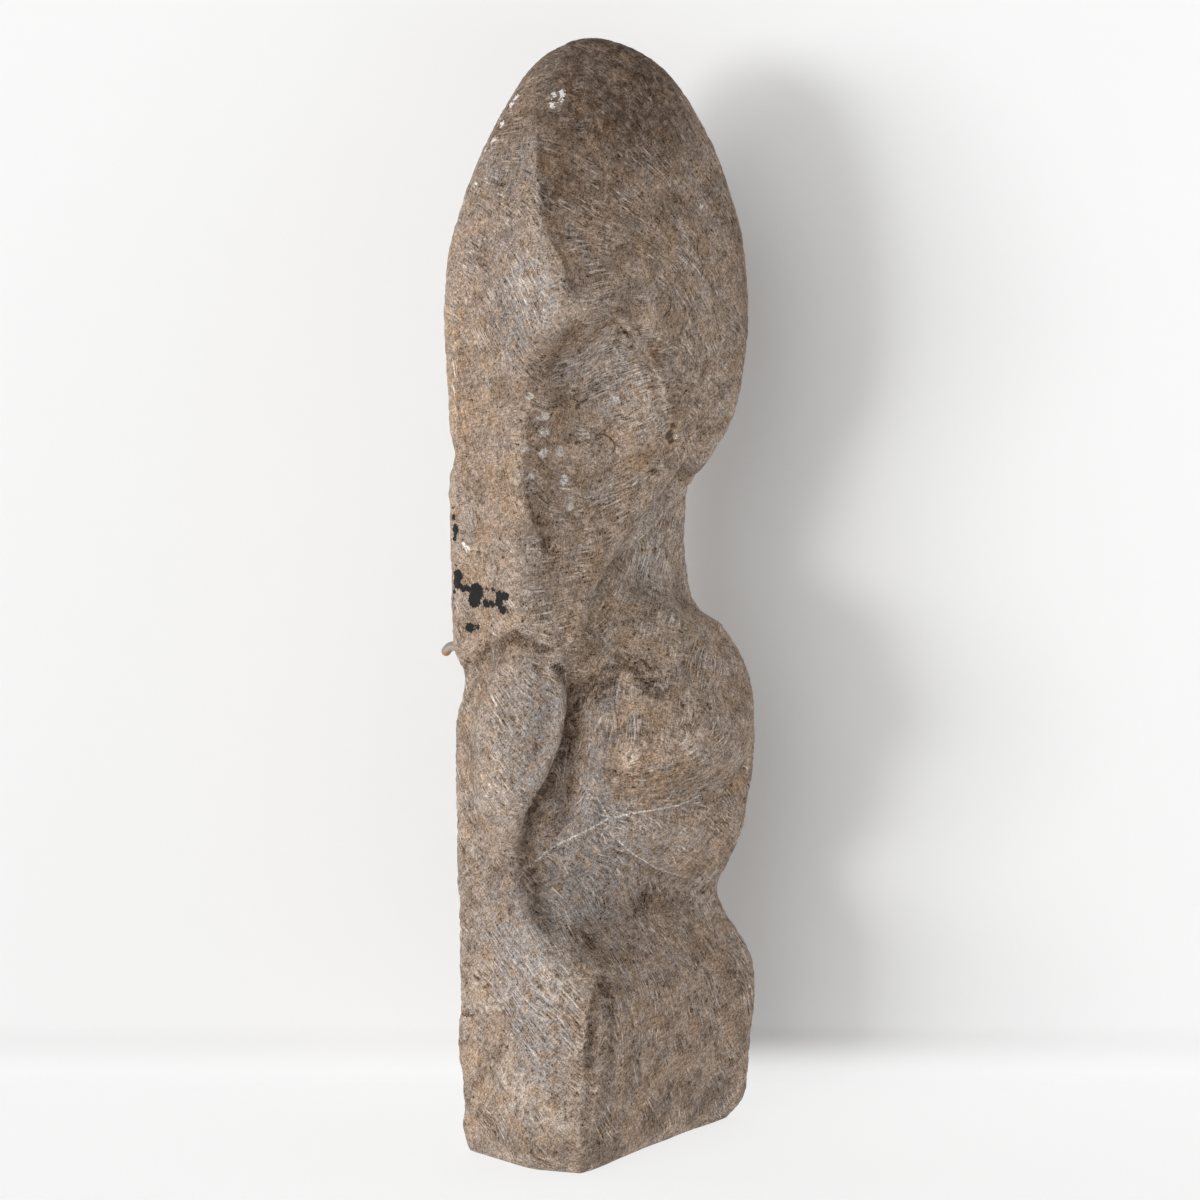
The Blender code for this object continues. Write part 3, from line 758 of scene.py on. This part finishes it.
def fine_copy(node, name, levels):
    """A copy of a CAD node's mesh with its triangles joined into quads and subdivided smoothly."""
    work = bmesh.new()
    work.from_mesh(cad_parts[node].data)
    bmesh.ops.remove_doubles(work, verts=work.verts, dist=MERGE_DISTANCE)
    limits = {"angle_face_threshold": JOIN_ANGLE, "angle_shape_threshold": JOIN_SHAPE}
    bmesh.ops.join_triangles(work, faces=work.faces, **limits)
    crease = work.edges.layers.float.new("crease_edge")
    for edge in work.edges:
        foot = all(vert.co.z < STONE_LOW.z + MERGE_DISTANCE for vert in edge.verts)
        if foot or edge.is_manifold and edge.calc_face_angle() > CREASE_ANGLE:
            edge[crease] = 1.0
    mesh = bpy.data.meshes.new(name)
    work.to_mesh(mesh)
    work.free()
    cage = new_object(name, mesh)
    finer = cage.modifiers.new("finer", "SUBSURF")
    finer.levels = levels
    finer.render_levels = levels
    return plain_mesh(cage)


def new_object(name, data):
    """A new object in the scene."""
    thing = bpy.data.objects.new(name, data)
    bpy.context.scene.collection.objects.link(thing)
    return thing


def plain_mesh(thing):
    """The object with its modifiers' result as its own plain mesh."""
    evaluated = thing.evaluated_get(bpy.context.evaluated_depsgraph_get())
    mesh = bpy.data.meshes.new_from_object(evaluated)
    old = thing.data
    thing.modifiers.clear()
    thing.data = mesh
    bpy.data.meshes.remove(old)
    mesh.name = thing.name
    return thing


def attribute(wire, name, output="Fac"):
    return wire.node("ShaderNodeAttribute", {"attribute_name": name}, {}, output)


def write_line(surface, name, routes, part):
    """Write each point's distance from the nearest route, in millimetres with a side, and where it shows."""
    found = [surface.beside(pixels) for pixels in routes]
    nearest = np.argmin([distance for distance, _, _ in found], axis=0)
    distance, side, share = (np.choose(nearest, values) for values in zip(*found))
    surface.write(name, distance * side / MM)
    surface.write(name + "_share", soft_ends(share, part) * (1 - eased(distance, LINE_REACH, LINE_REACH)))


def carve(surface):
    """Press the carved lines and chips into the surface and write what the material reads."""
    pressed = np.zeros(len(surface.places))
    for kind, cuts in CUTS.items():
        for cut in cuts:
            pressed = np.maximum(pressed, press_cut(surface, kind, *cut))
    for *pixel, radius in MARKS["chip"]:
        pressed += CHIP_DEPTH * radius * MM * faded(surface.near_pixel(pixel), radius * CHIP_REACH)
    give = eased(surface.places[:, 2] - STONE_LOW.z, *GROUND_STILL)
    from_pin = np.linalg.norm((surface.places - np.array((PIN_LOW + PIN_HIGH) / 2))[:, [0, 2]], axis=1)
    behind = surface.places[:, 1] > 0
    give = np.where(behind, give * eased(from_pin, *PIN_STILL), give)
    masks = surface_masks(surface)
    for name, pixels in PALE_LINES.items():
        write_line(surface, name, (pixels,), LINE_END)
    write_line(surface, "crack", CRACKS, ROUTE_END)
    for name, marks in MARKS.items():
        outside = [surface.near_pixel(pixel) / MM - radius for *pixel, radius in marks]
        surface.write(name, np.min(outside, axis=0))
    raised = np.full(len(surface.places), MEAN_PRESS)
    for pixels, reach, height in SWELLS:
        distance, _, _ = surface.beside(pixels, 2)
        raised += height * MM * bump_fall(distance, reach * MM)
    raised *= eased(STONE_HIGH.z - surface.places[:, 2], *CROWN_STILL)
    surface.places += surface.normals * ((raised - pressed) * give)[:, None]
    surface.places = np.clip(surface.places, STONE_LOW, STONE_HIGH)
    surface.write_places()
    along, across = stroke_ways(surface)
    surface.write("way", along)
    surface.write("across", across)
    surface.write("give", give)
    surface.write("fine_hollow", surface.hollow(FINE_ROUNDS) / MM)
    surface.write("broad_hollow", surface.hollow(BROAD_ROUNDS) / MM)
    for kind, values in masks.items():
        surface.write(kind, np.clip(values, LEAST_MASK, 1.0))


def tool_marks(settings):
    """A Geometry Nodes tree that presses the tool's long marks and shallow hollows into a surface."""
    tree = bpy.data.node_groups.new("tool_marks", "GeometryNodeTree")
    inputs = {"Geometry": "Geometry", "Wave depth": "Float", "Wave size": "Float"}
    inputs |= {"Peck depth": "Float", "Material": "Material"}
    for name, kind in inputs.items():
        tree.interface.new_socket(name, in_out="INPUT", socket_type="NodeSocket" + kind)
    tree.interface.new_socket("Geometry", in_out="OUTPUT", socket_type="NodeSocketGeometry")
    start = Wire(tree, tree.nodes.new("NodeGroupInput").outputs[0])
    place = start.node("GeometryNodeInputPosition", {}, {}).scaled(1 / MM)
    normal = start.node("GeometryNodeInputNormal", {}, {})
    kinds = {"way": "FLOAT_VECTOR", "across": "FLOAT_VECTOR", "give": "FLOAT"}
    way, across, give = (
        start.node("GeometryNodeInputNamedAttribute", {"data_type": kind}, {"Name": name})
        for name, kind in kinds.items()
    )
    patch = settings.patch_size / MM
    length = settings.peck_length / MM
    width = settings.peck_width / MM
    pecks = pecks_at(place, way, across, patch, length, width).between(0.35, 0.7)
    scale = start.output("Wave size").maths("POWER", -1.0)
    waves = start.node("ShaderNodeTexNoise", {}, {"Vector": place.scaled(MM), "Scale": scale, "Detail": 2.0})
    depth = (waves * start.output("Wave depth") + (1 - pecks) * start.output("Peck depth")) * give
    offset = normal.scaled(0 - depth)
    moved = start.node("GeometryNodeSetPosition", {}, {"Geometry": start, "Offset": offset})
    whole = start.node("GeometryNodeRealizeInstances", {}, {"Geometry": moved})
    inputs = {"Geometry": whole, "Material": start.output("Material")}
    start.node("GeometryNodeSetMaterial", {}, inputs).feed(tree.nodes.new("NodeGroupOutput"), "Geometry")
    return tree


def use_tool_marks(thing, settings, material):
    """Press the tool's marks into the object and leave it a plain mesh of this material."""
    tree = tool_marks(settings)
    marks = thing.modifiers.new("tool_marks", "NODES")
    marks.node_group = tree
    values = {"Wave depth": settings.wave_depth, "Wave size": settings.wave_size}
    values |= {"Peck depth": settings.peck_depth, "Material": material}
    for socket in tree.interface.items_tree:
        if socket.in_out == "INPUT" and socket.name in values:
            marks[socket.identifier] = values[socket.name]
    return plain_mesh(thing)


def new_material(name):
    """A material, its shader and a wire to start from: the object's own coordinates in millimetres."""
    made = bpy.data.materials.new(name)
    made.use_nodes = True
    tree = made.node_tree
    shader = tree.nodes["Principled BSDF"]
    where = Wire(tree, tree.nodes.new("ShaderNodeTexCoord").outputs["Object"]).scaled(1 / MM)
    return made, shader, where


def within(place, name, uneven, low, high):
    """1 inside a kind of mark, with its edge between two distances in millimetres."""
    return 1 - (attribute(place, name) + uneven).between(low, high)


def on_line(place, name, uneven, low, high):
    """1 on a line, where it shows."""
    aside = attribute(place, name) + uneven
    return (1 - aside.maths("ABSOLUTE").between(low, high)) * attribute(place, name + "_share")


def patchy(place, name, noise):
    """A mask broken up by noise, so that its edge is ragged and its middle uneven."""
    return (attribute(place, name) * noise.between(0.34, 0.64) * 2.0).limited()


def granite(settings):
    """Tooled granite: strokes that follow the forms, crystals, dust and dirt, painted shade, painted light
    and highlights, and the marks on it.
    """
    made, shader, place = new_material("tooled_granite")
    way = attribute(place, "way", "Vector")
    across = attribute(place, "across", "Vector")
    patch = settings.patch_size / MM
    length = settings.stroke_length / MM
    pitch = settings.stroke_pitch / MM
    strokes, gaps = dashes_at(place, way, across, patch, length, pitch, 0.35)
    streaks = pecks_at(place, way, across, patch * 1.4, length, pitch * 0.55) - 0.5
    cross = pecks_at(place, across, way, patch * 0.8, length * 0.4, pitch * 0.5) - 0.5
    grain = noise_at(place, 1.0, 1.0, 0.7)
    rough = noise_at(place, 2.7, 2.0, 0.65)
    _, crystal, rust, _ = cells_at(place, settings.grain_size / MM)
    broad = noise_at(place, settings.mottle_size / MM, 3.0, 0.6)
    middle = noise_at(place, 6.0, 2.0, 0.6)
    warm, cool, patchiness = noise_at(place, 17.0, 2.0, 0.6).output("Color").parts()
    tooled = (attribute(place, "strokes") + (patchiness - 0.5) * 4.0).between(0.30, 0.80)
    tone = (broad.between(0.42, 0.58) * 0.75 + (middle - 0.5) * 1.4 + 0.12).limited()
    ochre = patchy(place, "ochre", middle) * 0.45 + warm.between(0.47, 0.62) * (0.34 - tooled * 0.19)
    cold = patchy(place, "grey", middle) * 0.9 + cool.between(0.47, 0.62) * (0.20 + tooled * 0.26)
    # Painted highlight: convex ridges are paled with the cream of fresh tool marks
    ridge_highlight = 1 - attribute(place, "fine_hollow").between(-0.7, -0.1)
    fresh_and_highlight = strokes.between(0.50, 0.95) * tooled * 0.35 + streaks.between(0.08, 0.30) * (0.1 + tooled * 0.25)
    fresh_and_highlight = (fresh_and_highlight + ridge_highlight * 0.12).limited()
    # Painted shade: hollows of the surface are darkened with the dirt colour, on top of the dirt stains
    hollow = attribute(place, "fine_hollow").between(0.05, 0.9) * 0.35
    hollow = hollow + attribute(place, "broad_hollow").between(0.5, 5.0) * 0.12
    soil_and_shade = (patchy(place, "dirt", middle) + hollow).limited()
    ragged = (noise_at(place, 1.7, 2.0, 0.7) - 0.5) * 7.0
    # Each layer's colour, and how much of it covers what lies under it
    layers = [
        # Pale dust, together with painted light on faces turned to the light
        (settings.cream, patchy(place, "pale", middle) * 0.45),
        (settings.ochre, ochre.limited()),
        (settings.grey, cold.limited()),
        (settings.ochre, rust.between(0.94, 0.96) * 0.15),
        (settings.cream, fresh_and_highlight),
        (settings.white, within(place, "bruise", (middle - 0.5) * 8.0, -1.4, 1.0) * 0.45),
    ]
    for name in PALE_LINES:
        line = on_line(place, name, (middle - 0.5) * 1.2, 0.25, 0.95) * grain.between(0.2, 0.5)
        layers.append((settings.white, line * 0.55))
    layers.append((settings.dirt, on_line(place, "crack", (middle - 0.5) * 2.0, 0.3, 1.0) * 0.8))
    layers.append((settings.dirt, soil_and_shade * (0.8 - fresh_and_highlight * 0.35)))
    base = tone.runs(settings.brown, settings.tan)
    for shade, share in layers:
        base = base.blended(shade, share)

    # Painted shade and light: the film darkens as weathering and partly as painted shade on faces turned
    # from the light and in hollows; below zero it is painted light that lightens the stone.
    film = attribute(place, "film") * (0.55 + middle.between(0.3, 0.7) * 0.7)
    fold = (rough - 0.5).maths("ABSOLUTE")
    pits = (1 - fold.between(0.004, 0.022)) * broad.between(0.42, 0.56)
    speckle = (grain - 0.5) * 2.2 + (rough - 0.5) * 1.7 - pits * 0.28
    specks = crystal.between(0.94, 0.96) * 0.30 - (1 - crystal.between(0.04, 0.07)) * 0.28
    lines = strokes * tooled * 0.2 - gaps * tooled * 0.08 + streaks * (0.5 + tooled * 0.9)
    fine = speckle + specks + (lines + cross * (0.8 - tooled * 0.5))
    base = base.scaled(1 + fine * 0.75).vector("ADD", fine.joined(fine, fine).scaled(0.07))
    base = base.vector("MULTIPLY", (1 - film * 0.60).joined(1 - film * 0.66, 1 - film * 0.71))
    base = base.blended(settings.dirt, within(place, "chip", ragged * 0.5, -0.8, 0.5) * 0.95)
    base = base.blended(settings.white, within(place, "lime", ragged, -0.5, 0.3) * 0.9)
    paint = within(place, "paint", ragged * 0.6, -0.25, 0.2)
    base = base.blended(settings.black, paint)
    base.feed(shader, "Base Color")
    (settings.roughness - paint * 0.2).feed(shader, "Roughness")
    shader.inputs["Specular IOR Level"].default_value = 0.3
    relief = grain * 0.4 + rough * 1.3 + middle * 1.4
    (relief * (settings.stroke_depth * 1.5)).bump_on(shader)
    return made


def pin_steel(settings):
    """Dull steel with rust along its underside."""
    made, shader, place = new_material("worn_steel")
    _, _, height = place.parts()
    spots = noise_at(place, settings.grain / MM, 4.0, 0.65)
    low = PIN_LOW.z / MM
    below = 1 - height.between(low + 1.0, low + 5.5)
    rusty = (below * 0.9 + spots.between(0.50, 0.75) * 0.5).limited()
    base = rusty.runs(settings.steel, settings.rust)
    base.feed(shader, "Base Color")
    (1 - rusty).feed(shader, "Metallic")
    (0.42 + rusty * 0.4).feed(shader, "Roughness")
    (spots * (0.15 * MM)).bump_on(shader)
    return made


def put_on(piece, node):
    """Smooth the piece between its sharp edges; it rides on the body and stands for its CAD node."""
    piece.data.shade_smooth()
    piece.data.set_sharp_from_angle(angle=SHARP_ANGLE)
    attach(piece, "root")
    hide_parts(node)


class RELIEF_OT_stone(Operator):
    """Carve the fine surface of the granite and give it its finish"""

    bl_idname = "relief.stone"
    bl_label = "Carve stone"

    def execute(self, context):
        settings = context.scene.relief_stone
        stone = fine_copy(STONE_NODE, "tooled_stone", STONE_LEVELS)
        surface = Surface(stone.data)
        carve(surface)
        use_tool_marks(stone, settings, granite(settings))
        put_on(stone, STONE_NODE)
        return {"FINISHED"}


class RELIEF_OT_pin(Operator):
    """Round the bent pin in the back and give it its finish"""

    bl_idname = "relief.pin"
    bl_label = "Make pin"

    def execute(self, context):
        pin = fine_copy(PIN_NODE, "bent_pin", 1)
        pin.data.materials.clear()
        pin.data.materials.append(pin_steel(context.scene.relief_pin))
        put_on(pin, PIN_NODE)
        return {"FINISHED"}


def paper(settings):
    """Matt white paper that is seen from its front only; the floor part of it glows."""
    made, shader, place = new_material("white_paper")
    _, _, height = place.parts()
    floor = 1 - height.between(2.0, 0.9 * settings.cove / MM)
    (floor * FLOOR_SHADE).runs(settings.shade, (0.0, 0.0, 0.0)).feed(shader, "Base Color")
    glow = floor * settings.glow
    glow.joined(glow, glow).feed(shader, "Emission Color")
    shader.inputs["Emission Strength"].default_value = 1.0
    shader.inputs["Roughness"].default_value = 0.9
    shader.inputs["Specular IOR Level"].default_value = 0.1
    behind = place.node("ShaderNodeNewGeometry", {}, {}, "Backfacing")
    clear = place.node("ShaderNodeBsdfTransparent", {}, {})
    front = Wire(place.tree, shader.outputs[0])
    seen = place.node("ShaderNodeMixShader", {}, {0: behind, 1: front, 2: clear})
    seen.feed(place.tree.nodes["Material Output"], "Surface")
    return made


def pale_world(settings):
    """Pale surroundings that are seen bright but give little light."""
    world = bpy.data.worlds.new("pale_room")
    world.use_nodes = True
    tree = world.node_tree
    seen = Wire(tree, tree.nodes.new("ShaderNodeLightPath").outputs["Is Camera Ray"])
    (seen * SEEN_WORLD + settings.ambient).feed(tree.nodes["Background"], "Strength")
    tree.nodes["Background"].inputs["Color"].default_value = (1.0, 1.0, 1.0, 1.0)
    return world


def sweep_mesh(settings):
    """Floor, cove and wall in one sheet, square to the way the camera looks."""
    right = camera_axes()[0]
    away = -sky_way(CAMERA_AZIMUTH, 0.0)
    profile = [(-settings.span, 0.0)]
    for step in range(COVE_STEPS + 1):
        turn = math.pi / 2 * step / COVE_STEPS
        out = settings.gap - settings.cove + settings.cove * math.sin(turn)
        profile.append((out, settings.cove * (1 - math.cos(turn))))
    profile.append((settings.gap, settings.span / 2))
    work = bmesh.new()
    rows = []
    for out, height in profile:
        middle = away * out + Vector((0.0, 0.0, height))
        rows.append([work.verts.new(middle + right * (side * settings.span / 2)) for side in (-1, 1)])
    for low, high in zip(rows, rows[1:]):
        work.faces.new((low[0], low[1], high[1], high[0]))
    mesh = bpy.data.meshes.new("paper_sweep")
    work.to_mesh(mesh)
    work.free()
    mesh.shade_smooth()
    return mesh


def add_lamp(name, strength, turn, rise, width):
    """A distant light, as a disc in the sky."""
    sun = bpy.data.lights.new(name, "SUN")
    sun.energy = strength
    sun.angle = math.radians(width)
    thing = new_object(name, sun)
    source = sky_way(CAMERA_AZIMUTH - math.radians(turn), math.radians(rise))
    thing.rotation_euler = source.to_track_quat("Z", "Y").to_euler()


class RELIEF_OT_room(Operator):
    """Set the pale floor and wall, the soft light and the camera"""

    bl_idname = "relief.room"
    bl_label = "Set room"

    def execute(self, context):
        settings = context.scene.relief_room
        scene = context.scene
        sweep = new_object("paper_sweep", sweep_mesh(settings))
        sweep.data.materials.append(paper(settings))
        bpy.ops.mesh.primitive_plane_add(size=settings.span * 2, location=(0.0, 0.0, -FLOOR_DROP))
        floor = context.object
        floor.name = "floor_behind"
        floor.data.materials.append(sweep.data.materials[0])
        for name, stand in LAMPS.items():
            add_lamp(name + "_light", getattr(settings, name), *stand)
        scene.world = pale_world(settings)
        scene.view_settings.view_transform = "Standard"
        data = bpy.data.cameras.new("camera")
        data.lens = CAMERA_LENS
        data.sensor_width = CAMERA_SENSOR
        data.shift_x = (PICTURE_SIDE / 2 - AIM_PIXEL[0]) / PICTURE_SIDE
        data.shift_y = (AIM_PIXEL[1] - PICTURE_SIDE / 2) / PICTURE_SIDE
        camera = new_object("camera", data)
        right, up, back = camera_axes()
        turned = Matrix((right, up, back)).transposed().to_4x4()
        turned.translation = AIM + back * CAMERA_DISTANCE
        camera.matrix_world = turned
        scene.camera = camera
        return {"FINISHED"}


class RELIEF_PT_looks(Panel):
    """Lists the relief's pieces and their settings"""

    bl_label = "Granite relief"
    bl_idname = "RELIEF_PT_looks"
    bl_space_type = "VIEW_3D"
    bl_region_type = "UI"
    bl_category = "Relief"

    def draw(self, context):
        for piece in GROUPS:
            settings = getattr(context.scene, "relief_" + piece)
            box = self.layout.box()
            box.operator("relief." + piece)
            for name in settings.__annotations__:
                box.prop(settings, name)


CLASSES = (*GROUPS.values(), RELIEF_OT_stone, RELIEF_OT_pin, RELIEF_OT_room, RELIEF_PT_looks)


def register():
    for each in CLASSES:
        bpy.utils.register_class(each)
    for piece, group in GROUPS.items():
        setattr(bpy.types.Scene, "relief_" + piece, PointerProperty(type=group))


def unregister():
    for piece in GROUPS:
        delattr(bpy.types.Scene, "relief_" + piece)
    for each in reversed(CLASSES):
        bpy.utils.unregister_class(each)


def main():
    register()
    bpy.ops.relief.stone()
    bpy.ops.relief.pin()
    bpy.ops.relief.room()


if __name__ == "__main__":
    main()
